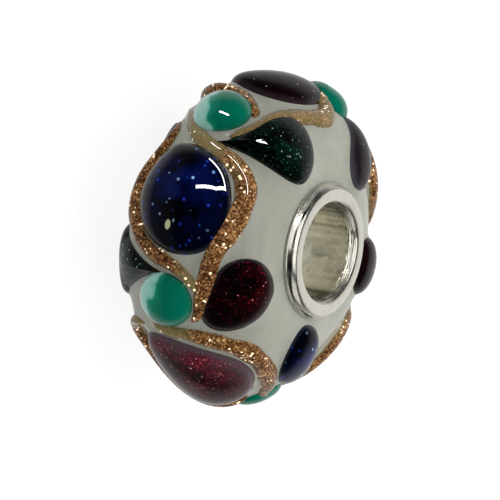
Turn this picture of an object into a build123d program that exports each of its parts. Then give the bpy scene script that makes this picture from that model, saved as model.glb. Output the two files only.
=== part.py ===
from build123d import *
import os
from math import cos, degrees, radians, sin

# European charm bead: a wound ring of pale glass on a silver core, with molten
# domes, dots and drops of coloured glass and two goldstone trails laid on it.
# Frame: the bore runs along Z, the origin is half way along the bore, and the
# bead lies on its lower silver collar. All sizes are in millimetres.

# Silver core
bore_radius = 2.2           # clear hole that the bracelet passes through
tube_wall = 0.35            # wall of the tube inside the glass
collar_radius = 3.15        # outer radius of the rounded end collars
collar_height = 0.5         # how far a collar stands out of the glass end
collar_rim = 0.14           # straight rim at the foot of a collar
crest_outer_radius = 2.88   # flat crest ring that the bead stands on
crest_inner_radius = 2.4
lip_depth = 0.4             # how deep the rounded lip runs into the bore
collar_bulge = 0.08         # how far the collar's outer slope is rounded out

# Glass ring
glass_radius = 6.88         # radius of the plain glass at its widest
glass_half_width = 3.8      # half the width of the glass along the bore
face_radius = 3.05          # radius at which the rounded side meets the end

# Molten decorations: half sizes on the glass, and heights above it
dome_half_length = 2.8      # big domes, round the bead
dome_half_width = 2.4       # big domes, along the bore
dome_height = 0.95
dot_radius = 1.25
dot_height = 0.84
drop_half_width = 1.95      # side drops, across
drop_head_length = 1.9      # side drops, from their widest to the collar side
drop_tail_length = 2.9      # side drops, from their widest to the tail's tip
drop_height = 0.45
trail_half_width = 0.44     # goldstone trail, half its width
trail_height = 0.3
melt_depth = 0.8            # how deep the round forms start below the glass
clearance = 0.02            # gap between any two touching pieces

parts_folder = "parts"
crown_depth = glass_radius - face_radius
tube_radius = bore_radius + tube_wall
collar_foot = glass_half_width + clearance
collar_top = collar_foot + collar_height

# Crossings: where the dots sit, evenly spaced round the bead. Columns hold the
# turn away from the even spacing and the lift from the equator, in degrees.
crossing_start = -50.0
dots = [
    # turn, lift
    (0.5, 3.0),
    (6.0, 1.0),
    (4.5, 14.0),
    (5.0, 4.0),
    (14.0, 15.0),
]
crossing_count = len(dots)
crossing_step = 360.0 / crossing_count

# Domes sit between two crossings. Columns as for the dots, then the size as a
# share of the named dome.
domes = [
    # turn, lift, size
    (2.5, 5.0, 1.0),
    (6.5, 3.0, 1.0),
    (6.5, 3.0, 0.9),
    (8.5, 2.0, 0.97),
    (-0.5, 4.0, 0.86),
]

# Side drops point at the dots, on the front side and on the back side. Columns
# hold the turn away from the dot, the lift, and the size as a share.
front_drops = [
    # turn, lift, size
    (-2.0, 53.0, 1.0),
    (3.0, 52.0, 0.95),
    (-5.5, 62.0, 0.88),
    (4.0, 62.0, 0.8),
    (-10.0, 60.0, 0.76),
]
back_drops = [
    # turn, lift, size
    (-8.0, -62.0, 0.8),
    (-7.0, -52.0, 0.96),
    (-5.0, -57.0, 0.88),
    (0.0, -56.0, 0.86),
    (-8.0, -57.0, 0.88),
]

# Goldstone trails, each span from one crossing to the next: a share of the way,
# a lift in degrees, and the width as a share. A front span starts and ends in
# front of a dot, a back span beside it, both at a distance set by the dot's size.
front_wave = [
    # share, lift, width
    (0.19, 26.0, 0.8),
    (0.32, 41.0, 1.0),
    (0.50, 46.5, 1.0),
    (0.70, 39.0, 1.0),
]
back_wave = [
    # share, lift, width
    (0.24, -14.0, 0.7),
    (0.34, -36.0, 1.0),
    (0.51, -43.0, 1.0),
    (0.68, -37.0, 1.0),
    (0.77, -14.0, 0.7),
]
trail_end_width = 0.55      # width share where a trail meets a dot
trail_end_lift = 5.0        # how far above a dot's middle a back span starts
trail_sections = 16         # sections that a span is lofted through


def glass_plane(turn, lift, depth=0.0):
    """Plane on the glass: x runs round the bead, y to the front, z outwards."""
    radius = face_radius + crown_depth * cos(radians(lift))
    height = glass_half_width * sin(radians(lift))
    slope = Vector(cos(radians(lift)) / crown_depth, 0, sin(radians(lift)) / glass_half_width)
    outward = slope.normalized().rotate(Axis.Z, turn)
    foot = Vector(radius, 0, height).rotate(Axis.Z, turn)
    return Plane(foot - outward * depth, Vector(0, 1, 0).rotate(Axis.Z, turn), outward)


def crossing_turn(index):
    """Turn of a crossing, with its own small offset, counted on round the bead."""
    laps, place = divmod(index, crossing_count)
    return crossing_start + 360.0 * laps + crossing_step * place + dots[place][0]


def turned(edges):
    """Solid turned round the bore from a closed outline of radius and height."""
    return revolve(Plane.XZ * make_face(edges), Axis.Z)


def glass_outline(inner_radius, skin):
    """Half section of the glass: flat ends and a rounded side, grown by skin."""
    top = glass_half_width + skin
    side = EllipticalCenterArc((face_radius, 0), crown_depth + skin, top, -90, arc_size=180)
    ends = Polyline((face_radius, top), (inner_radius, top), (inner_radius, -top), (face_radius, -top))
    return Curve() + [side, ends]


def make_glass_body():
    """Pale glass ring, drilled for the core with a named clearance."""
    return turned(glass_outline(tube_radius + clearance, 0.0))


def make_glass_seat():
    """Solid that the decorations are cut back to, one clearance off the glass."""
    return turned(glass_outline(bore_radius, clearance))


def collar_edges():
    """Upper end of the core's half section: foot, rim, rounded slope, crest and lip."""
    foot = (collar_radius, collar_foot)
    rim = (collar_radius, collar_foot + collar_rim)
    crest = (crest_outer_radius, collar_top)
    lip_centre = (crest_inner_radius, collar_top - lip_depth)
    lip_width = crest_inner_radius - bore_radius
    return Curve() + [
        Line((tube_radius, collar_foot), foot),
        Line(foot, rim),
        SagittaArc(rim, crest, -collar_bulge),
        Line(crest, (crest_inner_radius, collar_top)),
        EllipticalCenterArc(lip_centre, lip_width, lip_depth, 90, arc_size=90),
    ]


def make_silver_core():
    """Tube with a rounded collar and a flared lip at each end, all one solid."""
    upper = collar_edges()
    lower = mirror(upper, Plane.XZ)
    lip_top = collar_top - lip_depth
    wall = Line((bore_radius, lip_top), (bore_radius, -lip_top))
    waist = Line((tube_radius, collar_foot), (tube_radius, -collar_foot))
    return turned(upper + lower + [wall, waist])


def bump(half_width, head, tail, depth):
    """Egg laid on a plane: widest at the plane's origin, with its head to +y."""
    front = EllipticalCenterArc((0, 0), half_width, head, 0, arc_size=90)
    back = EllipticalCenterArc((0, 0), half_width, tail, -90, arc_size=90)
    outline = Curve() + [front, back, Line((0, head), (0, -tail))]
    return scale(revolve(make_face(outline), Axis.Y), (1, 1, depth / half_width))


def dot_blob(index, grow=0.0):
    """Round dot at a crossing."""
    radius = dot_radius + grow
    plane = glass_plane(crossing_turn(index), dots[index][1], melt_depth)
    return plane * bump(radius, radius, radius, dot_height + melt_depth + grow)


def dome_blob(index, grow=0.0):
    """Oval dome half way between two crossings."""
    turn, lift, size = domes[index]
    middle = crossing_start + crossing_step * (index + 0.5) + turn
    half_length = dome_half_length * size + grow
    half_width = dome_half_width * size + grow
    blob = bump(half_length, half_width, half_width, dome_height + melt_depth + grow)
    return glass_plane(middle, lift, melt_depth) * blob


def drop_blob(index, table):
    """Side drop with its round head by the collar and its tail at the dot."""
    turn, lift, size = table[index]
    head = drop_head_length * size
    tail = drop_tail_length * size
    if lift < 0:
        head, tail = tail, head
    blob = bump(drop_half_width * size, head, tail, drop_height + melt_depth)
    return glass_plane(crossing_turn(index) + turn, lift, melt_depth) * blob


def trail_section(turn, lift, heading, width, skin, sink):
    """Half round section across a trail, where it heads along the glass."""
    seat_plane = glass_plane(turn, lift, sink - clearance)
    round_way = seat_plane.x_dir * (face_radius + crown_depth * cos(radians(lift))) * heading.X
    along = (round_way + seat_plane.y_dir * glass_half_width * heading.Y).normalized()
    half_width = trail_half_width * width + skin
    top = (0, trail_height + sink + skin)
    across = Plane(seat_plane.origin, seat_plane.z_dir.cross(along), along)
    back = ThreePointArc((-half_width, 0), top, (half_width, 0))
    return across * make_face(Curve() + [back, Line((half_width, 0), (-half_width, 0))])


def trail_ridge(route, skin=0.0, sink=0.0):
    """Trail lofted along a route of turns, lifts and widths, laid on the glass."""
    line = Spline(*[(turn, lift, width) for turn, lift, width in route])
    sections = []
    for step in range(trail_sections + 1):
        share = step / trail_sections
        at = line @ share
        sections.append(trail_section(at.X, at.Y, line % share, at.Z, skin, sink))
    return loft(sections)


def front_route(index):
    """Route of a front span, from in front of one dot to in front of the next."""
    first = crossing_turn(index)
    way = crossing_turn(index + 1) - first
    room = degrees((dot_radius + trail_half_width * trail_end_width + clearance) / glass_half_width)
    start = (first, dots[index][1] + room, trail_end_width)
    end = (first + way, dots[(index + 1) % crossing_count][1] + room, trail_end_width)
    return [start, *[(first + share * way, lift, width) for share, lift, width in front_wave], end]


def back_route(index):
    """Route of a back span, from beside one dot to beside the next."""
    first = crossing_turn(index)
    way = crossing_turn(index + 1) - first
    room = degrees((dot_radius + trail_half_width * trail_end_width + clearance) / glass_radius)
    start = (first + room, dots[index][1] + trail_end_lift, trail_end_width)
    end_lift = dots[(index + 1) % crossing_count][1] + trail_end_lift
    end = (first + way - room, end_lift, trail_end_width)
    return [start, *[(first + share * way, lift, width) for share, lift, width in back_wave], end]


def cut_back(blob, *neighbours):
    """The blob cut off the glass and clear of its neighbours, without crumbs."""
    for neighbour in neighbours:
        blob = max((blob - neighbour).solids(), key=lambda solid: solid.volume)
    return blob


def write_node(name, shape):
    """Write one piece to its own file, named for the piece."""
    shape.label = name
    export_step(shape, os.path.join(parts_folder, name + ".step"))


os.makedirs(parts_folder, exist_ok=True)
write_node("glass_body", make_glass_body())
write_node("silver_core", make_silver_core())

seat = make_glass_seat()
places = range(crossing_count)
dot_room = [dot_blob(index, clearance) for index in places]
dome_room = [dome_blob(index, clearance) for index in places]
front_room = [trail_ridge(front_route(index), clearance, melt_depth) for index in places]
back_room = [trail_ridge(back_route(index), clearance, melt_depth) for index in places]

for index in places:
    number = str(index + 1)
    before = index - 1
    after = (index + 1) % crossing_count
    dots_beside = [dot_room[index], dot_room[after]]
    domes_beside = [dome_room[before], dome_room[index]]
    write_node("dot_" + number, cut_back(dot_blob(index), seat))
    write_node("dome_" + number, cut_back(
        dome_blob(index), seat, *dots_beside, front_room[index], back_room[index]))
    write_node("goldstone_front_" + number, cut_back(
        trail_ridge(front_route(index)), *dots_beside, front_room[after]))
    write_node("goldstone_back_" + number, cut_back(trail_ridge(back_route(index)), *dots_beside))
    write_node("drop_front_" + number, cut_back(
        drop_blob(index, front_drops), seat, dot_room[index], *domes_beside,
        front_room[index], front_room[before]))
    write_node("drop_back_" + number, cut_back(
        drop_blob(index, back_drops), seat, dot_room[index], *domes_beside,
        back_room[index], back_room[before]))
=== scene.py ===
from math import cos, pi, radians, sin

import bpy
import numpy as np
from mathutils import Matrix, Vector


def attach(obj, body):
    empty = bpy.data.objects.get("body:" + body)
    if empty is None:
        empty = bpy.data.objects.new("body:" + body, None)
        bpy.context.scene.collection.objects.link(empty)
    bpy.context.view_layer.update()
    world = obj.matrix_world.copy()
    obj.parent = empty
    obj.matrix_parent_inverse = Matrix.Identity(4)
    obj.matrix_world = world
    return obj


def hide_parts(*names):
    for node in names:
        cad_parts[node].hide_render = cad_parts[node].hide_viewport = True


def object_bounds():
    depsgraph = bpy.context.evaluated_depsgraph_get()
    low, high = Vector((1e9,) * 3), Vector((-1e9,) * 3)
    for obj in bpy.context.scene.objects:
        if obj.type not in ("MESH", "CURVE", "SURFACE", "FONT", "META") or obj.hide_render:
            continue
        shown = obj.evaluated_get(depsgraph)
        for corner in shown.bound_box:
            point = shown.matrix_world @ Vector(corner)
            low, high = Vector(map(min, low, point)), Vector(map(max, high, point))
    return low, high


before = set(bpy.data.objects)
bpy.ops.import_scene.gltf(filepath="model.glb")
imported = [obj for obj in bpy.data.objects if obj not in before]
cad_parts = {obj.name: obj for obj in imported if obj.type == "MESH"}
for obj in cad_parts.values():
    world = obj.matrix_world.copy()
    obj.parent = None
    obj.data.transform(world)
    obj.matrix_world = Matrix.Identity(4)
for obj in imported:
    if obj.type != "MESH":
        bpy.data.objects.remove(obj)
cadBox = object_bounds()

print("european charm bead: frame loaded,", len(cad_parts), "nodes")

mm = 0.001

# The plain glass under everything, in millimetres. turn goes round the bore in degrees and
# arc runs over the side of the glass in mm, 0 on the widest line and + towards the photo's side.
glass = {
    "faceRadius": 3.05,     # where the round side meets the flat end
    "crownDepth": 3.83,     # from there out to the widest line
    "halfWidth": 3.8,       # along the bore
    "boreOutline": [        # radius, z of the flat end and the bore, upper half
        (2.9, 3.8), (2.7, 3.8), (2.57, 3.76), (2.57, 1.9)],
    "arcRadius": 3.815,     # mean radius of the side, turns an arc into a lift
    "around": 512,          # points round the bead
    "over": 168,            # rings over its side
    "fadeLift": 80.0,       # the relief dies out from this lift, in degrees, to the collar
    "domeFoot": 0.30,       # height of the pale glass drawn up under a dome, dot, drop, trail
    "dotFoot": 0.22,
    "dropFoot": 0.2,
    "trailFoot": 0.14,
    "footSpread": 0.13,     # how gently that foot runs out
    "footSteps": 60,        # points along a trail that its foot is measured from
    "skin": 0.02,           # waviness of the wound glass
}

# Where the wound glass stands out of the true round or falls short of it, in mm.
swells = [
    # turn, arc, height, reach
    (240.0, 2.5, 0.36, 2.4),
    (259.0, 1.5, 0.2, 1.6),
    (291.0, -1.3, 0.42, 1.4),
    (86.0, -0.1, 0.63, 2.3),
    (44.0, -2.9, 0.24, 1.4),
]


def glassRadius(arc):
    # radius of the side = faceRadius + crownDepth * cos(lift)
    return glass["faceRadius"] + glass["crownDepth"] * np.cos(arc / glass["arcRadius"])


def onGlass(turn, arc, height):
    # point = (radius, z) of an ellipse side, moved out along the side's normal by height,
    # then turned round Z: x = radius cos(turn), y = radius sin(turn)
    lift = arc / glass["arcRadius"]
    outR, outZ = np.cos(lift) / glass["crownDepth"], np.sin(lift) / glass["halfWidth"]
    size = np.hypot(outR, outZ)
    radius = glassRadius(arc) + height * outR / size
    z = glass["halfWidth"] * np.sin(lift) + height * outZ / size
    turn = np.radians(turn)
    return np.stack([radius * np.cos(turn), radius * np.sin(turn), z], axis=-1) * mm


# Where the molten pieces lie.
# tail and head are the lengths from the widest place, width is half the breadth there, point
# makes the tail from round (0) to drawn out (2.5), aim turns the tail from the front (0) to the
# way round the bead (90), bend pulls its tip aside. glass is its slot, and looks its recipe where
# that is another. glitterAt is where its glitter lies closest, in mm along the tail and aside of
# it, and how far that reaches.
domes = {
    "dome_1": {"turn": -13.7, "arc": 0.18, "head": 2.96, "tail": 2.21, "width": 2.19, "point": 0.37,
               "aim": 243.0, "bend": 0.23, "height": 0.66, "glass": "blue", "looks": "blueMarked",
               "glitterAt": (-0.3, 0.35, 1.35)},
    "dome_2": {"turn": 66.6, "arc": 0.67, "head": 2.06, "tail": 3.16, "width": 1.87, "point": 0.08,
               "aim": 231.0, "bend": -0.08, "height": 0.56, "glass": "wine",
               "glitterAt": (1.3, 0.9, 1.6)},
    "dome_3": {"turn": 136.5, "arc": 0.2, "head": 2.3, "tail": 2.4, "width": 2.05, "point": 0.25,
               "aim": 268.0, "bend": 0.1, "height": 0.62, "glass": "blue"},
    "dome_4": {"turn": 210.5, "arc": 0.15, "head": 2.4, "tail": 2.6, "width": 2.15, "point": 0.3,
               "aim": 275.0, "bend": -0.1, "height": 0.66, "glass": "violet"},
    "dome_5": {"turn": 273.8, "arc": 0.25, "head": 2.31, "tail": 2.3, "width": 1.91, "point": 0.0,
               "aim": 264.0, "bend": 0.31, "height": 0.62, "glass": "wine", "looks": "plum"},
}
dots = {
    "dot_1": {"turn": -49.5, "arc": 0.2, "radius": 1.3, "height": 0.66, "swirl": 20.0},
    "dot_2": {"turn": 28.2, "arc": 0.05, "radius": 1.28, "height": 0.7, "swirl": 350.0},
    "dot_3": {"turn": 99.5, "arc": 1.0, "radius": 1.1, "height": 0.3, "swirl": 60.0},
    "dot_4": {"turn": 171.0, "arc": 0.25, "radius": 1.25, "height": 0.64, "swirl": 120.0},
    "dot_5": {"turn": 252.5, "arc": 1.0, "radius": 1.25, "height": 0.74, "swirl": 330.0},
}
drops = {
    "drop_front_1": {"turn": -45.1, "arc": 2.81, "head": 2.42, "tail": 2.5, "width": 1.85,
                     "point": 2.5, "aim": 130.0, "bend": 0.7, "height": 0.34, "glass": "green",
                     "glitterAt": (-0.9, 0.0, 1.1)},
    "drop_front_2": {"turn": 23.6, "arc": 3.73, "head": 1.16, "tail": 2.59, "width": 1.48,
                     "point": 0.0, "aim": 123.8, "bend": 0.39, "height": 0.38, "glass": "garnet",
                     "glitterAt": (-0.1, 0.1, 1.0)},
    "drop_front_3": {"turn": 94.0, "arc": 4.15, "head": 1.54, "tail": 2.53, "width": 1.16,
                     "point": 0.0, "aim": 156.9, "bend": -1.0, "height": 0.32, "glass": "blue",
                     "glitterAt": (0.3, 0.0, 1.4)},
    "drop_front_4": {"turn": 175.0, "arc": 4.2, "head": 1.72, "tail": 2.5, "width": 1.4,
                     "point": 0.5, "aim": 180.0, "bend": -0.3, "height": 0.42, "glass": "garnet",
                     "looks": "plum"},
    "drop_front_5": {"turn": 242.3, "arc": 3.72, "head": 1.73, "tail": 1.8, "width": 1.06,
                     "point": 0.7, "aim": 176.0, "bend": -0.6, "height": 0.32, "glass": "violet"},
    "drop_back_1": {"turn": -60.0, "arc": -4.55, "head": 1.05, "tail": 1.2, "width": 1.15,
                    "point": 0.6, "aim": 0.0, "bend": 0.4, "height": 0.24, "glass": "garnet"},
    "drop_back_2": {"turn": 19.6, "arc": -2.85, "head": 1.45, "tail": 3.03, "width": 1.6,
                    "point": 2.26, "aim": 351.0, "bend": 0.25, "height": 0.32, "glass": "green"},
    "drop_back_3": {"turn": 97.0, "arc": -3.75, "head": 1.4, "tail": 2.5, "width": 1.35,
                    "point": 0.6, "aim": 0.0, "bend": 0.3, "height": 0.34, "glass": "violet"},
    "drop_back_4": {"turn": 171.0, "arc": -3.7, "head": 1.35, "tail": 2.4, "width": 1.32,
                    "point": 0.6, "aim": 0.0, "bend": 0.4, "height": 0.34, "glass": "blue"},
    "drop_back_5": {"turn": 244.0, "arc": -3.75, "head": 1.4, "tail": 2.5, "width": 1.36,
                    "point": 0.6, "aim": 0.0, "bend": -0.3, "height": 0.34, "glass": "green"},
}
# Goldstone trails: the points that each goes through as (turn, arc, half width), its height,
# and the share of the way, from and to, where it is clear olive glass with few flakes. bare is
# how few they are there.
trails = {
    "goldstone_front_1": {"height": 0.24, "clear": (-0.1, 0.36), "way": [
        (-56.0, -2.2, 0.18), (-48.8, -1.62, 0.22), (-41.8, -0.92, 0.27), (-37.2, -0.3, 0.32),
        (-33.8, 0.38, 0.36), (-31.5, 1.1, 0.39), (-29.0, 2.05, 0.43), (-24.0, 2.8, 0.47),
        (-17.0, 3.1, 0.5), (-9.0, 3.05, 0.52), (-1.8, 2.8, 0.5), (4.5, 2.48, 0.46),
        (12.0, 2.18, 0.42), (19.5, 1.98, 0.4), (27.0, 1.74, 0.36), (33.5, 1.5, 0.3),
        (37.0, 1.15, 0.24)]},
    "goldstone_front_2": {"height": 0.24, "clear": (-0.1, 0.28), "way": [
        (41.0, -1.0, 0.2), (41.8, -0.5, 0.26), (42.2, 0.0, 0.31), (43.0, 0.9, 0.35),
        (46.5, 1.75, 0.4), (51.5, 2.45, 0.42), (58.5, 2.96, 0.44), (67.5, 3.15, 0.44),
        (76.5, 3.02, 0.44), (85.0, 2.64, 0.43), (91.5, 2.1, 0.41), (95.5, 1.35, 0.34)]},
    "goldstone_front_3": {"height": 0.36, "clear": (-0.1, 0.05), "way": [
        (109.5, 0.1, 0.26), (114.0, 1.5, 0.36), (123.0, 2.85, 0.43), (136.0, 3.2, 0.47),
        (149.0, 2.85, 0.45), (160.0, 2.0, 0.4), (171.0, 1.8, 0.34), (179.0, 1.4, 0.26)]},
    "goldstone_front_4": {"height": 0.46, "clear": (-0.1, 0.05), "way": [
        (181.5, -0.5, 0.26), (186.0, 0.8, 0.36), (194.0, 1.95, 0.44), (203.0, 2.65, 0.48),
        (212.0, 3.02, 0.5), (220.0, 3.1, 0.5), (228.0, 2.9, 0.45), (236.0, 2.5, 0.36),
        (243.0, 2.1, 0.26)]},
    "goldstone_front_5": {"height": 0.3, "clear": (0.02, 1.2), "bare": 0.58, "way": [
        (262.5, 0.6, 0.34), (262.5, 1.5, 0.42), (264.0, 2.2, 0.46), (268.5, 2.78, 0.47),
        (276.0, 2.92, 0.46), (283.0, 2.83, 0.43), (289.0, 2.64, 0.4), (295.0, 2.42, 0.38),
        (301.0, 2.28, 0.38), (307.0, 2.2, 0.37), (313.0, 2.0, 0.35), (318.0, 1.68, 0.32),
        (321.5, 1.3, 0.26)]},
    "goldstone_back_1": {"height": 0.34, "clear": (0.86, 1.2), "way": [
        (-46.0, -2.0, 0.16), (-39.0, -1.68, 0.24), (-32.0, -1.7, 0.3), (-25.0, -1.97, 0.36),
        (-18.0, -2.38, 0.42), (-10.0, -2.56, 0.45), (-3.0, -2.38, 0.45), (3.0, -1.87, 0.43),
        (8.0, -1.24, 0.4), (11.6, -0.5, 0.36), (13.6, 0.15, 0.32), (16.0, 0.75, 0.28),
        (20.0, 1.26, 0.24), (25.0, 1.58, 0.18)]},
    "goldstone_back_2": {"height": 0.41, "clear": (-0.1, 0.12), "way": [
        (42.5, -1.6, 0.18), (45.0, -2.4, 0.24), (50.0, -2.85, 0.33), (56.0, -2.95, 0.45),
        (64.0, -2.5, 0.46), (71.0, -1.95, 0.46), (77.0, -1.4, 0.45), (81.5, -0.75, 0.43),
        (84.5, 0.0, 0.4), (86.5, 0.7, 0.34), (88.0, 1.3, 0.24)]},
    "goldstone_back_3": {"height": 0.24, "clear": (-0.1, 0.05), "way": [
        (113.5, -0.3, 0.26), (116.0, -1.2, 0.36), (121.5, -2.2, 0.42), (131.0, -2.7, 0.46),
        (143.0, -2.65, 0.46), (153.0, -1.9, 0.43), (158.5, -0.8, 0.4), (160.8, 0.2, 0.34),
        (162.0, 1.0, 0.24)]},
    "goldstone_back_4": {"height": 0.24, "clear": (-0.1, 0.05), "way": [
        (182.5, -0.6, 0.26), (185.0, -1.4, 0.36), (191.0, -2.35, 0.42), (201.0, -2.8, 0.46),
        (213.0, -2.75, 0.46), (223.5, -2.0, 0.43), (230.0, -0.7, 0.4), (232.5, 0.5, 0.34),
        (234.0, 1.3, 0.24)]},
    "goldstone_back_5": {"height": 0.24, "clear": (-0.1, 0.3), "way": [
        (262.0, 0.0, 0.26), (262.5, -1.0, 0.34), (267.0, -1.9, 0.4), (275.0, -2.5, 0.42),
        (283.0, -2.55, 0.4), (289.0, -2.3, 0.37), (294.0, -1.8, 0.35), (295.5, -1.0, 0.34),
        (296.5, -0.2, 0.35), (298.5, 0.5, 0.35), (301.2, 1.0, 0.33), (304.0, 1.35, 0.3),
        (307.5, 1.58, 0.24)]},
}
for dot in dots.values():
    dot.update(head=dot["radius"], tail=dot["radius"], width=dot["radius"], point=0.0, aim=0.0, bend=0.0)


def acrossFrom(fromTurn, turn, arc):
    # way round the bead in mm = the smaller turn between the two * radius
    return np.radians((turn - fromTurn + 180) % 360 - 180) * glassRadius(arc)


def swellAt(turn, arc):
    # sum of bells: height * exp(-(distance / reach)^2)
    total = 0.0 * (turn + arc)
    for swellTurn, swellArc, height, reach in swells:
        across = acrossFrom(swellTurn, turn, arc)
        total = total + height * np.exp(-(across**2 + (arc - swellArc) ** 2) / reach**2)
    return total


def smoothLine(way, steps):
    # Catmull-Rom: each stretch blends four neighbouring points with cubic weights
    way = np.array(way, float)
    way = np.vstack([2 * way[0] - way[1], way, 2 * way[-1] - way[-2]])
    at = np.linspace(0, len(way) - 3, steps)
    first = np.minimum(at.astype(int), len(way) - 4)
    t = (at - first)[:, None]
    a, b, c, d = (way[first + step] for step in range(4))
    bent = (2 * a - 5 * b + 4 * c - d) * t**2
    return 0.5 * (2 * b + (c - a) * t + bent + (3 * b - a - 3 * c + d) * t**3)


def eggOutline(egg, theta):
    # u = length cos(theta), v = width sin(theta) sin(theta/2)^point, scaled to its full width
    length = np.where(np.cos(theta) > 0, egg["tail"], egg["head"])
    breadth = np.sin(theta) * np.abs(np.sin(theta / 2)) ** egg["point"]
    full = np.linspace(0, pi, 181)
    widest = np.max(np.sin(full) * np.sin(full / 2) ** egg["point"])
    return length * np.cos(theta), egg["width"] * breadth / widest


def eggPlaces(egg, rho, theta):
    # turn and arc of the place a share rho of the way out to the outline
    u, v = eggOutline(egg, theta)
    u, v = rho * u, rho * v
    v = v + egg["bend"] * (np.maximum(u, 0) / egg["tail"]) ** 2
    aim = radians(egg["aim"])
    arc = egg["arc"] + u * cos(aim) - v * sin(aim)
    across = u * sin(aim) + v * cos(aim)
    return egg["turn"] + np.degrees(across / glassRadius(arc)), arc


def eggGap(egg, turn, arc):
    # distance in mm outside the outline, below 0 inside it, along the line from the middle
    across = acrossFrom(egg["turn"], turn, arc)
    aim = radians(egg["aim"])
    u = across * sin(aim) + (arc - egg["arc"]) * cos(aim)
    v = across * cos(aim) - (arc - egg["arc"]) * sin(aim)
    v = v - egg["bend"] * (np.clip(u, 0, egg["tail"]) / egg["tail"]) ** 2
    edgeU, edgeV = eggOutline(egg, np.linspace(-pi, pi, 361))
    edge = np.interp(np.arctan2(v, u), np.arctan2(edgeV, edgeU)[1:-1], np.hypot(edgeU, edgeV)[1:-1])
    return np.hypot(u, v) - edge


def trailGap(trail, turn, arc):
    # distance in mm from the trail's line less its half width
    farAway = 9.0
    gap = np.full(turn.shape, farAway)
    for lineTurn, lineArc, halfWidth in smoothLine(trail["way"], glass["footSteps"]):
        across = acrossFrom(lineTurn, turn, arc)
        gap = np.minimum(gap, np.hypot(across, arc - lineArc) - halfWidth)
    return gap


def footStep(gap):
    # logistic step of the distance to a piece: 1 well inside it, 0 well outside
    return 1 / (1 + np.exp(np.clip(gap / glass["footSpread"], -30, 30)))


def reliefAt(turn, arc):
    # height of the pale glass = cube root of the sum of cubed feet, so it is drawn up under each
    # piece and runs out round it, + swells + a low ripple below 0, all faded out at the collar
    turn, arc = np.broadcast_arrays(turn, arc)
    total = np.zeros(turn.shape)
    for eggs, foot in ((domes, "domeFoot"), (dots, "dotFoot"), (drops, "dropFoot")):
        for egg in eggs.values():
            total += (glass[foot] * footStep(eggGap(egg, turn, arc))) ** 3
    for trail in trails.values():
        total += (glass["trailFoot"] * footStep(trailGap(trail, turn, arc))) ** 3
    lift = np.abs(np.degrees(arc / glass["arcRadius"]))
    fade = np.clip((90 - lift) / (90 - glass["fadeLift"]), 0, 1)
    slow = np.sin(np.radians(3 * turn) + 0.7 * arc)
    wave = slow + 0.6 * np.sin(np.radians(7 * turn) - 1.1 * arc + 1.3)
    height = np.cbrt(total) + swellAt(turn, arc) + glass["skin"] * (wave - 1.6) * 0.5
    return height * fade * fade * (3 - 2 * fade)


def skinRings(name, rings, poles=None, places=None, glitter=None):
    # skins an array of rings, each closed on itself. poles are the two points that close the
    # ends, and without them the last ring joins the first. Faces turn outwards, which the sign
    # of the volume tells
    count, around = rings.shape[:2]
    index = np.arange(count * around).reshape(count, around)
    rows = count if poles is None else count - 1
    after = np.roll(index, -1, axis=0)[:rows]
    beside, afterBeside = np.roll(index, -1, axis=1)[:rows], np.roll(after, -1, axis=1)
    quads = np.stack([index[:rows], beside, afterBeside, after], axis=-1)
    faces = quads.reshape(-1, 4).tolist()
    points = rings.reshape(-1, 3)
    if poles is not None:
        points = np.vstack([points, poles])
        first, last = count * around, count * around + 1
        start, end = index[0], index[-1]
        faces += [[first, b, a] for a, b in zip(start.tolist(), np.roll(start, -1).tolist())]
        faces += [[last, a, b] for a, b in zip(end.tolist(), np.roll(end, -1).tolist())]
    corners = points[quads.reshape(-1, 4)]
    volume = np.einsum("ij,ij->i", corners[:, 0], np.cross(corners[:, 1], corners[:, 2])).sum()
    if volume < 0:
        faces = [face[::-1] for face in faces]
    mesh = bpy.data.meshes.new(name)
    mesh.from_pydata(points.tolist(), [], faces)
    mesh.polygons.foreach_set("use_smooth", [True] * len(faces))
    if places is not None:
        attribute = mesh.attributes.new("place", "FLOAT_VECTOR", "POINT")
        attribute.data.foreach_set("vector", np.asarray(places, np.float32).ravel())
    if glitter is not None:
        attribute = mesh.attributes.new("glitter", "FLOAT", "POINT")
        attribute.data.foreach_set("value", np.asarray(glitter, np.float32).ravel())
    mesh.validate()
    piece = bpy.data.objects.new(name, mesh)
    bpy.context.collection.objects.link(piece)
    return piece


def finishPiece(piece, node, material):
    piece.data.materials.append(material)
    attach(piece, "root")
    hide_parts(node)


def hexColour(text, alpha=1.0):
    # sRGB hex to linear: ((c + 0.055) / 1.055) ^ 2.4, or c / 12.92 for the darkest
    parts = [int(text[i:i + 2], 16) / 255 for i in (1, 3, 5)]
    return tuple(((c + 0.055) / 1.055) ** 2.4 if c > 0.04045 else c / 12.92 for c in parts) + (alpha,)


def addNode(tree, kind, settings=None, sockets=None):
    node = tree.nodes.new(kind)
    for key, value in (settings or {}).items():
        setattr(node, key, value)
    for key, value in (sockets or {}).items():
        if isinstance(value, bpy.types.NodeSocket):
            tree.links.new(value, node.inputs[key])
        else:
            node.inputs[key].default_value = value
    return node


def newMaterial(name, sockets):
    material = bpy.data.materials.new(name)
    material.use_nodes = True
    tree = material.node_tree
    surface = tree.nodes["Principled BSDF"]
    for key, value in sockets.items():
        surface.inputs[key].default_value = value
    return material, tree, surface


def perMm(size):
    # texture scale for a pattern whose cells are size mm, on coordinates in metres
    return 1 / (size * mm)


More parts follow.
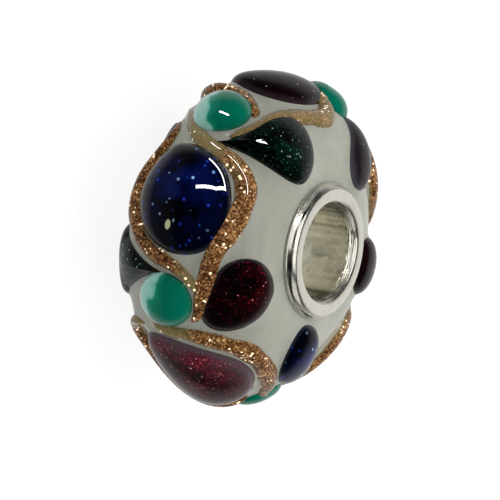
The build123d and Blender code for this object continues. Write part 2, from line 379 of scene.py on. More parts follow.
def opalGlass():
    # opaque soft glass, wound hot and flame polished: even pale grey-white, a wet gloss, and faint
    # lighter streaks that run round the bead the way it was wound
    material, tree, surface = newMaterial("opalGlassFlamePolished", {
        "Roughness": 0.09, "IOR": 1.52, "Subsurface Weight": 0.25, "Subsurface Scale": 0.6 * mm,
        "Subsurface Radius": (1.0, 0.9, 0.75)})
    coordinates = addNode(tree, "ShaderNodeTexCoord")
    stretched = addNode(tree, "ShaderNodeMapping", {}, {
        "Vector": coordinates.outputs["Object"], "Scale": (1, 1, 3.5)})
    streaks = addNode(tree, "ShaderNodeTexNoise", {}, {
        "Vector": stretched.outputs["Vector"], "Scale": perMm(3.2), "Detail": 5.0, "Roughness": 0.62,
        "Distortion": 0.6})
    tint = addNode(tree, "ShaderNodeValToRGB", {}, {"Fac": streaks.outputs["Fac"]})
    plain, streak = tint.color_ramp.elements
    plain.position, plain.color = 0.3, hexColour("#94958A")
    streak.position, streak.color = 0.72, hexColour("#A6A69B")
    tree.links.new(tint.outputs["Color"], surface.inputs["Base Color"])
    ripple = addNode(tree, "ShaderNodeTexNoise", {}, {
        "Vector": coordinates.outputs["Object"], "Scale": perMm(1.6), "Detail": 2.0})
    bump = addNode(tree, "ShaderNodeBump", {}, {
        "Height": ripple.outputs["Fac"], "Strength": 0.12, "Distance": 0.05 * mm})
    tree.links.new(bump.outputs["Normal"], surface.inputs["Normal"])
    return material


glitterRecipes = {
    # deep, body and rim are the glass where it is thick, half thick and thin over the pale glass, with
    # body reached at bodyDepth; glow is the light that the flakes throw about inside, painted into the
    # colour, and glowSize the size of its clouds; flakes are drawn flakeSize mm apart, share of them
    # shown; the pale spark colour is painted glints, flakes painted near white as if they caught the
    # light, on its own share of them
    "blue": {"deep": "#010206", "body": "#02040A", "rim": "#222834", "bodyDepth": 0.16,
             "glow": "#081450", "glowSize": 1.5, "flake": "#2A4CE0", "paintedGlintColour": "#A8D4FF",
             "flakeSize": 0.18, "flakeShare": 0.08, "paintedGlintShare": 0.035, "flakeTilt": 0.5},
    "wine": {"deep": "#1C0C10", "body": "#3A2A2C", "rim": "#564A50", "bodyDepth": 0.4,
             "glow": "#571424", "glowSize": 1.6, "flake": "#B8485E", "paintedGlintColour": "#FFC0A8",
             "flakeSize": 0.07, "flakeShare": 0.42, "paintedGlintShare": 0.04, "flakeTilt": 0.5},
    "plum": {"deep": "#140A0C", "body": "#0C0507", "rim": "#2E2427", "bodyDepth": 0.2,
             "glow": "#1A0608", "glowSize": 1.6, "flake": "#6A3040", "paintedGlintColour": "#F0D0D0",
             "flakeSize": 0.08, "flakeShare": 0.05, "paintedGlintShare": 0.012, "flakeTilt": 0.4},
    "garnet": {"deep": "#060203", "body": "#0C0406", "rim": "#2E2A30", "bodyDepth": 0.2,
               "glow": "#2C060A", "glowSize": 1.2, "flake": "#8E1A2C", "paintedGlintColour": "#F08A90",
               "flakeSize": 0.085, "flakeShare": 0.16, "paintedGlintShare": 0.02, "flakeTilt": 0.5},
    "green": {"deep": "#020303", "body": "#030605", "rim": "#1C211C", "bodyDepth": 0.16,
              "glow": "#071E16", "glowSize": 1.0, "flake": "#1E6A4A", "paintedGlintColour": "#C0D0C4",
              "flakeSize": 0.085, "flakeShare": 0.22, "paintedGlintShare": 0.03, "flakeTilt": 0.5},
    "violet": {"deep": "#0E0A0C", "body": "#1C1719", "rim": "#46444C", "bodyDepth": 0.35,
               "glow": "#221A20", "glowSize": 1.6, "flake": "#3A3A50", "paintedGlintColour": "#7C7C92",
               "flakeSize": 0.12, "flakeShare": 0.05, "paintedGlintShare": 0.006, "flakeTilt": 0.4},
}
# the same blue with a pale mark in the casing: along the tail, aside, turned by degrees, and its
# half length and half width
glitterRecipes["blueMarked"] = dict(glitterRecipes["blue"], mark=(-1.59, -0.56, 35.0, 0.22, 0.12))


def glitterGlass(name, recipe):
    # dark transparent glass over metal glitter, cased in clear and flame polished: near black where
    # thick, lighter and greyer at the thin rim, clouds of painted glow where the flakes lie close, and
    # flakes under a wet coat, a few of them painted near white as painted glints of flakes that catch
    # the light
    material, tree, surface = newMaterial(name + "GlitterGlassCased", {
        "Roughness": 0.4, "IOR": 1.5, "Coat Weight": 1.0, "Coat Roughness": 0.025, "Coat IOR": 1.5,
        "Specular IOR Level": 0.0})
    place = addNode(tree, "ShaderNodeAttribute", {"attribute_name": "place"})
    depth = addNode(tree, "ShaderNodeSeparateXYZ", {}, {"Vector": place.outputs["Vector"]}).outputs["Z"]
    coordinates = addNode(tree, "ShaderNodeTexCoord").outputs["Object"]
    cloud = addNode(tree, "ShaderNodeTexNoise", {}, {
        "Vector": coordinates, "Scale": perMm(recipe["glowSize"]), "Detail": 3.0})
    uneven = addNode(tree, "ShaderNodeMath", {"operation": "MULTIPLY_ADD"}, {
        0: cloud.outputs["Fac"], 1: 0.12, 2: depth}).outputs["Value"]
    thickness = addNode(tree, "ShaderNodeValToRGB", {}, {"Fac": uneven})
    ramp = thickness.color_ramp
    ramp.elements[0].position, ramp.elements[0].color = 0.08, hexColour(recipe["rim"])
    ramp.elements[1].position, ramp.elements[1].color = 0.9, hexColour(recipe["deep"])
    ramp.elements.new(0.06 + recipe["bodyDepth"]).color = hexColour(recipe["body"])
    cells = addNode(tree, "ShaderNodeTexVoronoi", {"feature": "F1"}, {
        "Vector": coordinates, "Scale": perMm(recipe["flakeSize"])})
    lots = addNode(tree, "ShaderNodeSeparateColor", {}, {"Color": cells.outputs["Color"]})
    disc = addNode(tree, "ShaderNodeMapRange", {}, {
        "Value": cells.outputs["Distance"], "From Min": 0.5, "From Max": 0.36}).outputs["Result"]
    thick = addNode(tree, "ShaderNodeMapRange", {"interpolation_type": "SMOOTHSTEP"}, {
        "Value": uneven, "From Min": 0.12, "From Max": 0.3}).outputs["Result"]
    density = addNode(tree, "ShaderNodeAttribute", {"attribute_name": "glitter"}).outputs["Fac"]
    reach = addNode(tree, "ShaderNodeMath", {"operation": "MULTIPLY"}, {
        0: thick, 1: density}).outputs["Value"]
    crowd = addNode(tree, "ShaderNodeMapRange", {"interpolation_type": "SMOOTHSTEP"}, {
        "Value": cloud.outputs["Fac"], "From Min": 0.36, "From Max": 0.64}).outputs["Result"]
    glowing = addNode(tree, "ShaderNodeMath", {"operation": "MULTIPLY"}, {
        0: crowd, 1: reach}).outputs["Value"]
    lit = addNode(tree, "ShaderNodeMix", {"data_type": "RGBA"}, {
        "Factor": glowing, 6: thickness.outputs["Color"], 7: hexColour(recipe["glow"])}).outputs[2]

    def shown(lot, share, where):
        # flakes whose own random number is among the highest share, in their own place and size
        picked = addNode(tree, "ShaderNodeMapRange", {}, {
            "Value": lot, "From Min": 1 - share, "From Max": 1 - share * 0.3}).outputs["Result"]
        inside = addNode(tree, "ShaderNodeMath", {"operation": "MULTIPLY"}, {
            0: picked, 1: disc}).outputs["Value"]
        return addNode(tree, "ShaderNodeMath", {"operation": "MULTIPLY"}, {
            0: inside, 1: where}).outputs["Value"]

    among = addNode(tree, "ShaderNodeMapRange", {}, {
        "Value": glowing, "From Min": 0.0, "From Max": 0.8,
        "To Min": 0.2, "To Max": 1.0}).outputs["Result"]
    flakes = shown(lots.outputs["Red"], recipe["flakeShare"], among)
    # painted glints: a few flakes painted near white as if they caught the light
    paintedGlints = shown(lots.outputs["Green"], recipe["paintedGlintShare"], reach)
    withFlakes = addNode(tree, "ShaderNodeMix", {"data_type": "RGBA"}, {
        "Factor": flakes, 6: lit, 7: hexColour(recipe["flake"])})
    withPaintedGlints = addNode(tree, "ShaderNodeMix", {"data_type": "RGBA"}, {
        "Factor": paintedGlints, 6: withFlakes.outputs[2], 7: hexColour(recipe["paintedGlintColour"])})
    shade = withPaintedGlints.outputs[2]
    if "mark" in recipe:
        # pale where the length of (place - middle) / half size is under 1, at any depth
        alongTail, aside, turned, halfLength, halfWidth = recipe["mark"]
        anyDepth = 1000.0
        near = addNode(tree, "ShaderNodeMapping", {"vector_type": "TEXTURE"}, {
            "Vector": place.outputs["Vector"], "Location": (alongTail, aside, 0.0),
            "Rotation": (0.0, 0.0, radians(turned)), "Scale": (halfLength, halfWidth, anyDepth)})
        distance = addNode(tree, "ShaderNodeVectorMath", {"operation": "LENGTH"}, {
            0: near.outputs["Vector"]})
        marked = addNode(tree, "ShaderNodeMapRange", {}, {
            "Value": distance.outputs["Value"], "From Min": 1.0, "From Max": 0.8}).outputs["Result"]
        shade = addNode(tree, "ShaderNodeMix", {"data_type": "RGBA"}, {
            "Factor": marked, 6: shade, 7: hexColour("#B2B08C")}).outputs[2]
    tree.links.new(shade, surface.inputs["Base Color"])
    bump = addNode(tree, "ShaderNodeBump", {}, {
        "Height": lots.outputs["Blue"], "Strength": recipe["flakeTilt"], "Distance": 0.03 * mm})
    tree.links.new(bump.outputs["Normal"], surface.inputs["Normal"])
    return material


def turquoiseGlass():
    # opaque emerald glass with a fold of pale mint melted in: soft-edged swirl, very glossy
    material, tree, surface = newMaterial("turquoiseOpaqueGlassSwirled", {
        "Roughness": 0.06, "IOR": 1.52, "Coat Weight": 0.6, "Coat Roughness": 0.02, "Coat IOR": 1.52,
        "Subsurface Weight": 0.15, "Subsurface Scale": 0.3 * mm})
    place = addNode(tree, "ShaderNodeAttribute", {"attribute_name": "place"}).outputs["Vector"]
    warp = addNode(tree, "ShaderNodeTexNoise", {}, {"Vector": place, "Scale": 0.9, "Detail": 2.5})
    fold = addNode(tree, "ShaderNodeSeparateXYZ", {}, {"Vector": place})
    pull = addNode(tree, "ShaderNodeMath", {"operation": "MULTIPLY_ADD"}, {
        0: warp.outputs["Fac"], 1: 1.6, 2: fold.outputs["X"]})
    tint = addNode(tree, "ShaderNodeValToRGB", {}, {"Fac": pull.outputs["Value"]})
    ramp = tint.color_ramp
    ramp.elements[0].position, ramp.elements[0].color = 0.3, hexColour("#94C4B8")
    ramp.elements[1].position, ramp.elements[1].color = 0.95, hexColour("#016A54")
    for position, colour in ((0.45, "#74B8A8"), (0.56, "#15866C"), (0.7, "#03785E")):
        ramp.elements.new(position).color = hexColour(colour)
    tree.links.new(tint.outputs["Color"], surface.inputs["Base Color"])
    return material


def goldstoneGlass(name, clear, bareness):
    # aventurine glass pulled into a stringer and cased in clear: copper platelets packed in amber glass,
    # their colour set at random from dark red-brown to nearly white, which gives the copper's own tone
    # and also painted glints on platelets as if flat to the eye and painted shade on ones as if turned
    # away, and olive clear glass with few of them where the stringer was stretched thin
    material, tree, surface = newMaterial(name, {
        "Roughness": 0.45, "IOR": 1.5, "Coat Weight": 1.0, "Coat Roughness": 0.03, "Coat IOR": 1.5,
        "Specular IOR Level": 0.1})
    place = addNode(tree, "ShaderNodeAttribute", {"attribute_name": "place"})
    parts = addNode(tree, "ShaderNodeSeparateXYZ", {}, {"Vector": place.outputs["Vector"]})
    along, depth = parts.outputs["Y"], parts.outputs["Z"]
    coordinates = addNode(tree, "ShaderNodeTexCoord").outputs["Object"]
    cloud = addNode(tree, "ShaderNodeTexNoise", {}, {
        "Vector": coordinates, "Scale": perMm(1.0), "Detail": 3.0})
    fine = addNode(tree, "ShaderNodeTexVoronoi", {"feature": "F1"}, {
        "Vector": coordinates, "Scale": perMm(0.08)})
    lots = addNode(tree, "ShaderNodeSeparateColor", {}, {"Color": fine.outputs["Color"]})
    toned = addNode(tree, "ShaderNodeMath", {"operation": "MULTIPLY_ADD"}, {
        0: cloud.outputs["Fac"], 1: 0.5, 2: lots.outputs["Red"]})
    shade = addNode(tree, "ShaderNodeMath", {"operation": "MULTIPLY"}, {
        0: toned.outputs["Value"], 1: 0.68})
    # platelet colour: copper and amber tone, with painted shade at the dark end and painted glints at
    # the near-white end
    flakesAndPaintedGlints = addNode(tree, "ShaderNodeValToRGB", {}, {"Fac": shade.outputs["Value"]})
    ramp = flakesAndPaintedGlints.color_ramp
    ramp.elements[0].position, ramp.elements[0].color = 0.08, hexColour("#2E1A0C")
    ramp.elements[1].position, ramp.elements[1].color = 0.95, hexColour("#FFDCA8")
    for position, colour in ((0.3, "#4E3014"), (0.5, "#744C26"), (0.7, "#9C6C40"), (0.84, "#C89864")):
        ramp.elements.new(position).color = hexColour(colour)

    middle = addNode(tree, "ShaderNodeMath", {"operation": "MULTIPLY_ADD"}, {
        0: cloud.outputs["Fac"], 1: 0.24, 2: along})
    after = addNode(tree, "ShaderNodeMapRange", {"interpolation_type": "SMOOTHSTEP"}, {
        "Value": middle.outputs["Value"], "From Min": clear[0] + 0.06, "From Max": clear[0] + 0.18})
    before = addNode(tree, "ShaderNodeMapRange", {"interpolation_type": "SMOOTHSTEP"}, {
        "Value": middle.outputs["Value"], "From Min": clear[1] + 0.18, "From Max": clear[1] + 0.06})
    thin = addNode(tree, "ShaderNodeMapRange", {}, {
        "Value": depth, "From Min": 0.45, "From Max": 0.05})
    stretched = addNode(tree, "ShaderNodeMath", {"operation": "MULTIPLY"}, {
        0: after.outputs["Result"], 1: before.outputs["Result"]})
    bare = addNode(tree, "ShaderNodeMath", {"operation": "MAXIMUM"}, {
        0: stretched.outputs["Value"], 1: thin.outputs["Result"]})
    lost = addNode(tree, "ShaderNodeMath", {"operation": "MULTIPLY"}, {
        0: bare.outputs["Value"], 1: bareness})
    mixed = addNode(tree, "ShaderNodeMix", {"data_type": "RGBA"}, {
        "Factor": lost.outputs["Value"], 6: flakesAndPaintedGlints.outputs["Color"], 7: hexColour("#80764F")})

    # painted glints: large near-white flecks in clusters, painted into the colour
    big = addNode(tree, "ShaderNodeTexVoronoi", {"feature": "F1"}, {
        "Vector": coordinates, "Scale": perMm(0.17)})
    bigLots = addNode(tree, "ShaderNodeSeparateColor", {}, {"Color": big.outputs["Color"]})
    flock = addNode(tree, "ShaderNodeTexNoise", {}, {
        "Vector": coordinates, "Scale": perMm(0.8), "Detail": 1.0})
    chance = addNode(tree, "ShaderNodeMath", {"operation": "MULTIPLY_ADD"}, {
        0: flock.outputs["Fac"], 1: 2.0, 2: bigLots.outputs["Red"]})
    picked = addNode(tree, "ShaderNodeMapRange", {}, {
        "Value": chance.outputs["Value"], "From Min": 1.92, "From Max": 1.96})
    disc = addNode(tree, "ShaderNodeMapRange", {}, {
        "Value": big.outputs["Distance"], "From Min": 0.42, "From Max": 0.3})
    paintedGlintFleck = addNode(tree, "ShaderNodeMath", {"operation": "MULTIPLY"}, {
        0: picked.outputs["Result"], 1: disc.outputs["Result"]})
    withPaintedFlecks = addNode(tree, "ShaderNodeMix", {"data_type": "RGBA"}, {
        "Factor": paintedGlintFleck.outputs["Value"], 6: mixed.outputs[2], 7: hexColour("#FFE6B8")})
    tree.links.new(withPaintedFlecks.outputs[2], surface.inputs["Base Color"])
    metal = addNode(tree, "ShaderNodeMapRange", {}, {
        "Value": lost.outputs["Value"], "From Min": 0.0, "From Max": 0.6, "To Min": 0.15, "To Max": 0.0})
    tree.links.new(metal.outputs["Result"], surface.inputs["Metallic"])
    # the painted glint flecks also glow by emission, though they are no lamp
    paintedFleckGlow = addNode(tree, "ShaderNodeMath", {"operation": "MULTIPLY"}, {
        0: paintedGlintFleck.outputs["Value"], 1: 0.8})
    surface.inputs["Emission Color"].default_value = hexColour("#FFE9C8")
    tree.links.new(paintedFleckGlow.outputs["Value"], surface.inputs["Emission Strength"])
    bump = addNode(tree, "ShaderNodeBump", {}, {
        "Height": lots.outputs["Green"], "Strength": 0.6, "Distance": 0.02 * mm})
    tree.links.new(bump.outputs["Normal"], surface.inputs["Normal"])
    return material


def satinSilver():
    # sterling silver, turned, buffed and worn: warm white, half satin, with fine handling scratches
    # and, in the bore, lengthwise lines from the drawn tube
    material, tree, surface = newMaterial("sterlingSilverSatin", {"Metallic": 1.0})
    coordinates = addNode(tree, "ShaderNodeTexCoord").outputs["Object"]
    place = addNode(tree, "ShaderNodeAttribute", {"attribute_name": "place"}).outputs["Vector"]
    lines = addNode(tree, "ShaderNodeTexNoise", {}, {"Vector": place, "Scale": 1.0, "Detail": 1.0})
    tint = addNode(tree, "ShaderNodeValToRGB", {}, {"Fac": lines.outputs["Fac"]})
    groove, ridge = tint.color_ramp.elements
    groove.position, groove.color = 0.36, hexColour("#E8E5D6")
    ridge.position, ridge.color = 0.5, hexColour("#F5F3E8")
    tree.links.new(tint.outputs["Color"], surface.inputs["Base Color"])
    wear = addNode(tree, "ShaderNodeTexNoise", {}, {
        "Vector": coordinates, "Scale": perMm(0.6), "Detail": 6.0})
    rough = addNode(tree, "ShaderNodeMapRange", {}, {
        "Value": wear.outputs["Fac"], "From Min": 0.3, "From Max": 0.7, "To Min": 0.1, "To Max": 0.34})
    tree.links.new(rough.outputs["Result"], surface.inputs["Roughness"])
    both = addNode(tree, "ShaderNodeMath", {"operation": "MULTIPLY_ADD"}, {
        0: wear.outputs["Fac"], 1: 0.1, 2: lines.outputs["Fac"]})
    bump = addNode(tree, "ShaderNodeBump", {}, {
        "Height": both.outputs["Value"], "Strength": 0.9, "Distance": 0.16 * mm})
    tree.links.new(bump.outputs["Normal"], surface.inputs["Normal"])
    return material


def buildBody():
    # rings from one end face over the round side to the other, then back down the bore
    turn = np.linspace(0, 360, glass["around"], endpoint=False)[None, :]
    arc = np.linspace(-pi / 2, pi / 2, glass["over"])[:, None] * glass["arcRadius"]
    side = onGlass(turn, arc, reliefAt(turn, arc))
    upper = np.array(glass["boreOutline"])
    bore = np.vstack([upper, [(upper[-1, 0], 0)], upper[::-1] * [1, -1]])
    radius, z, angle = bore[:, :1], bore[:, 1:], np.radians(turn)
    inner = np.stack([radius * np.cos(angle), radius * np.sin(angle), z + 0 * angle], axis=-1) * mm
    return skinRings("paleGlassRing", np.concatenate([side, inner]))


finishPiece(buildBody(), "glass_body", opalGlass())
print("pale glass ring made")

# Silver core.
core = {
    "around": 320,
    "outline": [          # radius, z of the upper end from the waist to the bore
        (2.55, 3.82), (3.12, 3.82), (3.15, 3.84), (3.15, 3.93), (3.11, 3.95), (3.1, 4.02),
        (3.06, 4.14), (2.99, 4.24), (2.9, 4.31), (2.8, 4.32), (2.6, 4.32), (2.44, 4.315),
        (2.34, 4.27), (2.26, 4.18), (2.215, 4.06), (2.2, 3.92)],
    "bore": [(2.2, 2.0), (2.2, 0.0), (2.2, -2.0)],
    "rounding": 3,        # times that the outline's corners are cut
    "lines": 7.0,         # how closely the lengthwise lines follow each other round the bore
    "linesWithin": 2.3,   # radius inside which they show
    "linesTop": 4.3,      # and z where they have died out, over linesFade
    "linesFade": 0.4,
    "linesAlong": 0.03,   # how little they change along the bore
}


def buildCore():
    # closed outline of radius and z, its corners cut to a quarter again and again until they
    # are round, then turned round Z
    upper = np.array(core["outline"])
    lower = upper[::-1] * [1, -1]
    outline = np.vstack([upper, core["bore"], lower])
    for _ in range(core["rounding"]):
        after = np.roll(outline, -1, axis=0)
        near, far = 0.75 * outline + 0.25 * after, 0.25 * outline + 0.75 * after
        outline = np.stack([near, far], axis=1).reshape(-1, 2)
    angle = np.linspace(0, 2 * pi, core["around"], endpoint=False)[None, :]
    radius, z = outline[:, :1], outline[:, 1:]
    rings = np.stack([radius * np.cos(angle), radius * np.sin(angle), z + 0 * angle], axis=-1) * mm
    fade = np.clip((core["linesTop"] - np.abs(z)) / core["linesFade"], 0, 1)
    inside = (radius < core["linesWithin"]) * fade
    spread = core["lines"] / (2 * pi) * 3
    x, y = spread * np.cos(angle) * inside, spread * np.sin(angle) * inside
    places = np.stack([x, y, core["linesAlong"] * z + 0 * angle], axis=-1)
    return skinRings("silverCore", rings, places=places.reshape(-1, 3))


finishPiece(buildCore(), "silver_core", satinSilver())
print("silver core made")


eggShape = {
    "around": 144,
    "rings": 30,
    "under": [0.9, 0.55],       # shares of the outline where the underside's rings lie
    "sink": 0.35,               # how deep it goes into the pale glass, in mm
    "domeShoulder": 0.8,        # the lower, the fuller the edge
    "dropShoulder": 0.75,
    "dotShoulder": 0.6,
    "glitterAt": (0.0, 0.0, 2.2),
}


def buildEgg(name, egg, shoulder, turnPattern=0.0):
    # top: height = relief + height (1 - rho^2)^shoulder; the underside, relief - sink (1 - rho^2),
    # goes into the pale glass. The glitter's share = exp(-(distance / reach)^2)
    theta = np.linspace(-pi, pi, eggShape["around"], endpoint=False)[None, :]
    rho = np.sin(np.linspace(0.04, pi / 2, eggShape["rings"]))[:, None]
    under = np.array(eggShape["under"])[:, None]
    sink = eggShape["sink"]
    topTurn, topArc = eggPlaces(egg, rho, theta)
    lowTurn, lowArc = eggPlaces(egg, under, theta)
    top = reliefAt(topTurn, topArc) + egg["height"] * (1 - rho**2) ** shoulder
    low = reliefAt(lowTurn, lowArc) - sink * (1 - under**2)
    middle = np.array([egg["turn"]]), np.array([egg["arc"]])
    crest = reliefAt(*middle)
    rings = np.concatenate([onGlass(topTurn, topArc, top), onGlass(lowTurn, lowArc, low)])
    poles = np.vstack([onGlass(*middle, crest + egg["height"]), onGlass(*middle, crest - sink)])
    share = np.vstack([rho, under])
    u, v = eggOutline(egg, theta)
    spin = radians(turnPattern)
    along, across = share * u, share * v
    x = along * cos(spin) - across * sin(spin)
    y = along * sin(spin) + across * cos(spin)
    depth = (1 - share**2) + 0 * theta
    places = np.vstack([np.stack([x, y, depth], axis=-1).reshape(-1, 3), [(0, 0, 1), (0, 0, 1)]])
    toTail, aside, reach = egg.get("glitterAt", eggShape["glitterAt"])
    glitter = np.exp(-((along - toTail) ** 2 + (across - aside) ** 2) / reach**2)
    glitter = np.append(glitter.ravel(), [np.exp(-(toTail**2 + aside**2) / reach**2)] * 2)
    return skinRings(name, rings, poles, places, glitter)


glassMaterials = {key: glitterGlass(key, recipe) for key, recipe in glitterRecipes.items()}
for eggs, shoulder in ((domes, "domeShoulder"), (drops, "dropShoulder")):
    for name, egg in eggs.items():
        piece = buildEgg(name + "Glass", egg, eggShape[shoulder])
        material = glassMaterials[egg.get("looks", egg["glass"])]
        finishPiece(piece, name, material)
turquoise = turquoiseGlass()
for name, dot in dots.items():
    piece = buildEgg(name + "Glass", dot, eggShape["dotShoulder"], dot["swirl"])
    finishPiece(piece, name, turquoise)
print("domes, drops and dots made")


trailShape = {
    "steps": 150,
    "around": 32,
    "bluntness": 9,             # the higher, the blunter the ends
    "wobbles": [(0.07, 31, 1), (0.03, 67, 2)],    # share of the width, waves, shift
    "crown": 1.2,               # the higher, the narrower the ridge's top
    "sink": 0.5,                # depth of the underside as a share of the height
}


def buildTrail(name, trail):
    # section = ridge of half width w: across = w cos(a), height = relief + h sin(a)^crown, and
    # relief - sink h |sin(a)| below. h is in step with w, and both die out at the ends by
    # sqrt(1 - |2 share - 1|^bluntness)
    steps, around = trailShape["steps"], trailShape["around"]
    line = smoothLine(trail["way"], steps)
    share = np.linspace(0, 1, steps)
    ends = np.sqrt(np.clip(1 - np.abs(2 * share - 1) ** trailShape["bluntness"], 0, 1))
    radius = glassRadius(line[:, 1])
    roundWay = np.gradient(np.radians(line[:, 0])) * radius
    heading = np.stack([roundWay, np.gradient(line[:, 1])], axis=-1)
    heading /= np.linalg.norm(heading, axis=1)[:, None]
    angle = np.linspace(0, 2 * pi, around, endpoint=False)[None, :]
    wobble = np.ones(steps)
    for size, waves, shift in trailShape["wobbles"]:
        wobble += size * np.sin(share * waves + line[0, 0] * shift)
    across = (line[:, 2] * ends * wobble)[:, None] * np.cos(angle)
    arc = line[:, 1:2] + across * heading[:, :1]
    turn = line[:, :1] - np.degrees(across * heading[:, 1:] / glassRadius(arc))
    steep = np.abs(np.sin(angle))
    rise = np.where(np.sin(angle) > 0, steep ** trailShape["crown"], -trailShape["sink"] * steep)
    stout = line[:, 2:] / line[:, 2].max()
    height = reliefAt(turn, arc) + trail["height"] * stout * ends[:, None] * rise
    rings = onGlass(turn, arc, height)
    poles = np.stack([rings[0].mean(axis=0), rings[-1].mean(axis=0)])
    depth = np.clip(np.sin(angle), 0, 1) * ends[:, None]
    places = np.stack([across, share[:, None] + 0 * angle, depth], axis=-1).reshape(-1, 3)
    places = np.vstack([places[around:-around], [(0, 0, 0), (0, 1, 0)]])
    return skinRings(name, rings[1:-1], poles, places)


for name, trail in trails.items():
    bareness = trail.get("bare", 0.8)
    material = goldstoneGlass(name + "Aventurine", trail["clear"], bareness)
    finishPiece(buildTrail(name + "Glass", trail), name, material)
print("goldstone trails made")

# Floor, light and camera.
studio = {
    "floor": "#747371",        # matt paper on a light table, which glows through it
    "floorGlow": 0.87,
    "floorSize": 1200.0,
    "backdrop": 1.0,           # what the camera sees past the floor
    "ambient": 0.78,           # even light on every side
    # what the gloss reflects, by how far the ray turns back to the camera's side (-1 straight away
    # from it): the pale backdrop, then the dark room in front
    "mirrored": [(-1.0, 0.7), (-0.7, 0.5), (-0.4, 0.38), (-0.1, 0.05), (0.2, 0.005), (1.0, 0.0)],
    "mirroredFloor": 0.08,     # and the table below
    # softboxes by how far right and up of the camera's line they stand, in degrees: those that
    # light everything, and the lamps that only the silver mirrors
    "softboxes": {
        # right, up, distance, width, height, watts, for
        "topBox": (82.0, 2.0, 160.0, 180.0, 180.0, 0.18, "all"),
        "sideBox": (-10.0, 78.0, 180.0, 160.0, 120.0, 0.04, "all"),
        "lowBox": (70.0, -50.0, 180.0, 120.0, 120.0, 0.05, "all"),
        "silverLamp": (-13.0, 44.0, 150.0, 60.0, 46.0, 0.035, "silver"),
        "silverFill": (30.0, 0.0, 160.0, 150.0, 200.0, 0.11, "silver"),
        "silverSide": (-36.0, 22.0, 160.0, 90.0, 130.0, 0.035, "silver"),
        "silverCrest": (112.0, -14.0, 160.0, 140.0, 140.0, 0.02, "silver"),
        "silverBore": (-122.5, 0.0, 60.0, 80.0, 80.0, 0.04, "silver"),
        "silverLow": (20.0, -68.0, 160.0, 120.0, 120.0, 0.03, "silver"),
        "silverTop": (0.0, 75.0, 160.0, 120.0, 120.0, 0.014, "silver"),
    },
    # bright bars of a window, each a highlight on the pieces named below
    "windowBars": {
        # right and up of one end, right and up of the other, breadth, watts, for
        "sillLeft": (-9.0, 32.0, 36.0, 29.0, 10.0, 0.16, "window"),
        "sillRight": (36.0, 29.0, 80.0, 23.0, 10.0, 0.17, "window"),
        "windowPost": (80.0, 21.0, 108.0, 71.0, 14.0, 0.24, "window"),
        "dotBar": (-26.0, 53.0, 14.0, 34.0, 12.0, 0.13, "dot"),
        "tailLeft": (-75.0, 30.0, 0.0, 33.0, 10.0, 0.16, "tail"),
        "tailRight": (0.0, 33.0, 45.0, 41.0, 10.0, 0.12, "tail"),
        "streakOnTrail": (-50.0, 72.0, -8.0, 70.0, 10.0, 0.06, "trail"),
        "trailUpper": (-2.0, 56.0, 22.0, 42.0, 9.0, 0.07, "trail"),
        "trailLower": (22.0, 42.0, 33.0, 22.0, 9.0, 0.06, "trail"),
    },
    "barDistance": 140.0,
    "seenBy": {
        "window": ["dome_1Glass"],
        "dot": ["dot_1Glass"],
        "tail": ["drop_front_1Glass"],
        "trail": ["goldstone_front_1Glass"],
        "silver": ["silverCore"],
    },
}
camera = {
    "boreAngle": 57.5,
    "roll": 10.0,
    "distance": 100.0,
    "pixelsPerMm": 21.6,
    "pictureWidth": 500,
    "sensorWidth": 36.0,
    "shift": (-0.0034, -0.0232),
}

bpy.ops.mesh.primitive_plane_add(size=studio["floorSize"] * mm, location=(0, 0, cadBox[0][2]))
floor = bpy.context.object
floor.name = "floor"
paper = newMaterial("mattPaperSweep", {
    "Base Color": hexColour(studio["floor"]), "Roughness": 0.9, "Specular IOR Level": 0.1,
    "Emission Color": hexColour("#FFFFFF"), "Emission Strength": studio["floorGlow"]})[0]
floor.data.materials.append(paper)
floor.visible_glossy = False
floor.visible_diffuse = False

bore = radians(camera["boreAngle"])
back = Vector((sin(bore), 0, cos(bore)))
right = Vector((-cos(bore), 0, sin(bore)))
up = back.cross(right)
roll = radians(camera["roll"])
imageRight = right * cos(roll) + up * sin(roll)
imageUp = up * cos(roll) - right * sin(roll)

cameraData = bpy.data.cameras.new("camera")
cameraData.sensor_width = camera["sensorWidth"]
widthsAway = camera["pixelsPerMm"] * camera["distance"] / camera["pictureWidth"]
cameraData.lens = widthsAway * camera["sensorWidth"]
cameraData.clip_start, cameraData.clip_end = 0.005, 5.0
cameraData.shift_x, cameraData.shift_y = camera["shift"]
cameraObject = bpy.data.objects.new("camera", cameraData)
bpy.context.collection.objects.link(cameraObject)
turnMatrix = Matrix((imageRight, imageUp, back)).transposed().to_4x4()
cameraObject.matrix_world = Matrix.Translation(back * camera["distance"] * mm) @ turnMatrix
bpy.context.scene.camera = cameraObject

seenBy = {}
for use, names in studio["seenBy"].items():
    seenBy[use] = bpy.data.collections.new(use + "Side")
    for name in names:
        seenBy[use].objects.link(bpy.data.objects[name])


def towards(toRight, toUp):
    # direction = right sin(a) cos(b) + up sin(b) + back cos(a) cos(b), from the bead's middle
    a, b = radians(toRight), radians(toUp)
    return imageRight * sin(a) * cos(b) + imageUp * sin(b) + back * cos(a) * cos(b)


def addBox(name, middle, across, width, height, watts, use):
    # a flat lamp that faces the bead, its width along across
    light = bpy.data.lights.new(name, "AREA")
    light.shape = "RECTANGLE"
    light.size, light.size_y = width * mm, height * mm
    light.energy = watts
    box = bpy.data.objects.new(name, light)
    bpy.context.collection.objects.link(box)
    box.visible_camera = False
    box.visible_glossy = use != "all"
    box.visible_diffuse = use == "all"
    if use != "all":
        box.light_linking.receiver_collection = seenBy[use]
    outwards = middle.normalized()
    upright = outwards.cross(across)
    turned = Matrix((across, upright, outwards)).transposed().to_4x4()
    box.matrix_world = Matrix.Translation(middle * mm) @ turned


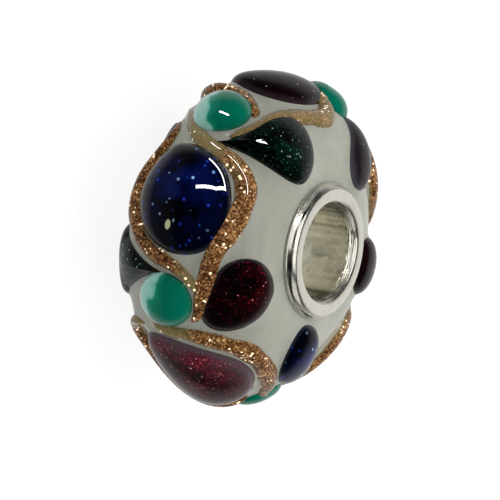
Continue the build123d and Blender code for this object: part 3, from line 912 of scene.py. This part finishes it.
for name, (toRight, toUp, distance, width, height, watts, use) in studio["softboxes"].items():
    direction = towards(toRight, toUp)
    across = imageUp.cross(direction).normalized()
    addBox(name, direction * distance, across, width, height, watts, use)
for name, (fromRight, fromUp, toRight, toUp, breadth, watts, use) in studio["windowBars"].items():
    start = towards(fromRight, fromUp) * studio["barDistance"]
    end = towards(toRight, toUp) * studio["barDistance"]
    way = end - start
    addBox(name, (start + end) / 2, way.normalized(), way.length, breadth, watts, use)

# the world's strength: the backdrop for the camera, mirrored for a glossy ray, ambient for others
world = bpy.data.worlds.new("paleStudio")
world.use_nodes = True
sky = world.node_tree
direction = addNode(sky, "ShaderNodeTexCoord").outputs["Generated"]
frontward = addNode(sky, "ShaderNodeVectorMath", {"operation": "DOT_PRODUCT"}, {
    0: direction, 1: back})
share = addNode(sky, "ShaderNodeMapRange", {}, {
    "Value": frontward.outputs["Value"], "From Min": -1.0, "From Max": 1.0})
room = addNode(sky, "ShaderNodeValToRGB", {}, {"Fac": share.outputs["Result"]})
first, last = room.color_ramp.elements
first.position, last.position = 0.0, 1.0
first.color = (studio["mirrored"][0][1],) * 3 + (1.0,)
last.color = (studio["mirrored"][-1][1],) * 3 + (1.0,)
for turned, strength in studio["mirrored"][1:-1]:
    room.color_ramp.elements.new((turned + 1) / 2).color = (strength,) * 3 + (1.0,)
height = addNode(sky, "ShaderNodeSeparateXYZ", {}, {"Vector": direction}).outputs["Z"]
table = addNode(sky, "ShaderNodeMapRange", {"interpolation_type": "SMOOTHSTEP"}, {
    "Value": height, "From Min": -0.05, "From Max": -0.5, "To Max": studio["mirroredFloor"]})
mirrored = addNode(sky, "ShaderNodeMath", {"operation": "MAXIMUM"}, {
    0: room.outputs["Color"], 1: table.outputs["Result"]})
ray = addNode(sky, "ShaderNodeLightPath")
notSeen = addNode(sky, "ShaderNodeMix", {"data_type": "FLOAT"}, {
    "Factor": ray.outputs["Is Glossy Ray"], 2: studio["ambient"], 3: mirrored.outputs["Value"]})
strength = addNode(sky, "ShaderNodeMix", {"data_type": "FLOAT"}, {
    "Factor": ray.outputs["Is Camera Ray"], 2: notSeen.outputs[0], 3: studio["backdrop"]})
sky.links.new(strength.outputs[0], sky.nodes["Background"].inputs["Strength"])
sky.nodes["Background"].inputs["Color"].default_value = (1.0, 1.0, 1.0, 1.0)
bpy.context.scene.world = world
bpy.context.scene.view_settings.view_transform = "Standard"
print("floor, lights and camera set")
